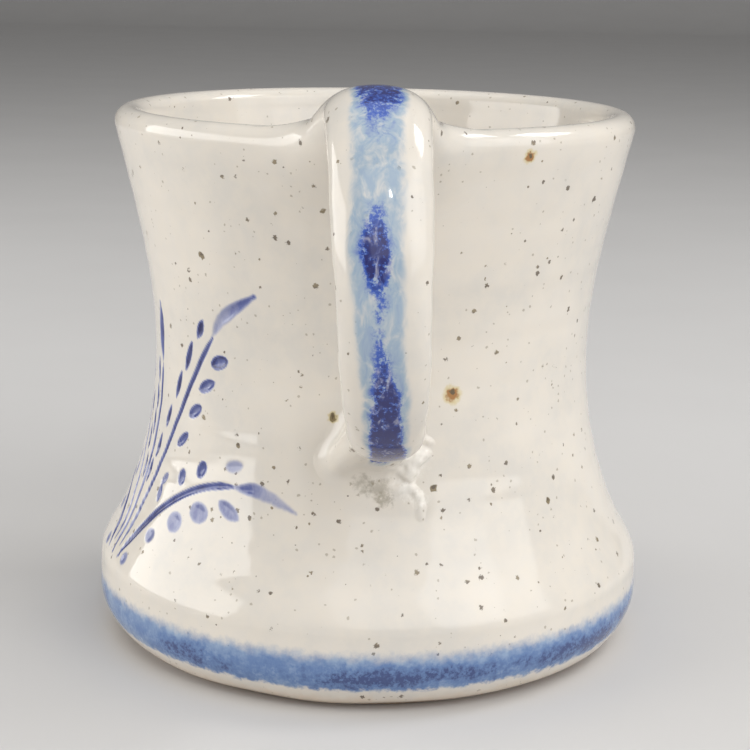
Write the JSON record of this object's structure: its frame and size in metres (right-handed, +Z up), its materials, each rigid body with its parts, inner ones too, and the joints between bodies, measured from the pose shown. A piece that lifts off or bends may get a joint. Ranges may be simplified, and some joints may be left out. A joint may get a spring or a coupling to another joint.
{
  "type": "stoneware mug",
  "caption": "Waisted hand-thrown stoneware mug with a looped strap handle, speckled cream glaze, a cobalt base band and a pressed wheat spray; holds hot drinks.",
  "frame": {"origin": "centre of the foot, on the plane of the foot ring that the mug stands on", "axes": "+Z is up along the mug's turning axis, -Y points out along the handle, and -X is the side with the wheat spray"},
  "size_m": [0.0984, 0.1276, 0.1023],
  "materials": {
    "bare_stoneware": "unglazed fired stoneware clay, warm tan-brown, fine sandy grain, matte",
    "cream_glaze": "glossy cream-grey glaze with iron specks, breaking warm brown at thin edges",
    "cobalt_wash": "glossy brushed cobalt blue melted into the glaze, mottled from pale blue to near black"
  },
  "bodies": {
    "root": {"thrown_body": "bare_stoneware", "upper_luting": "bare_stoneware", "handle_strap": "bare_stoneware", "lower_luting": "bare_stoneware", "glaze_coat": "cream_glaze", "handle_glaze": "cream_glaze", "base_band": "cobalt_wash", "handle_stroke": "cobalt_wash", "wheat_stems": "cobalt_wash", "wheat_blades": "cobalt_wash", "wheat_grains": "cobalt_wash"}
  },
  "joints": []
}
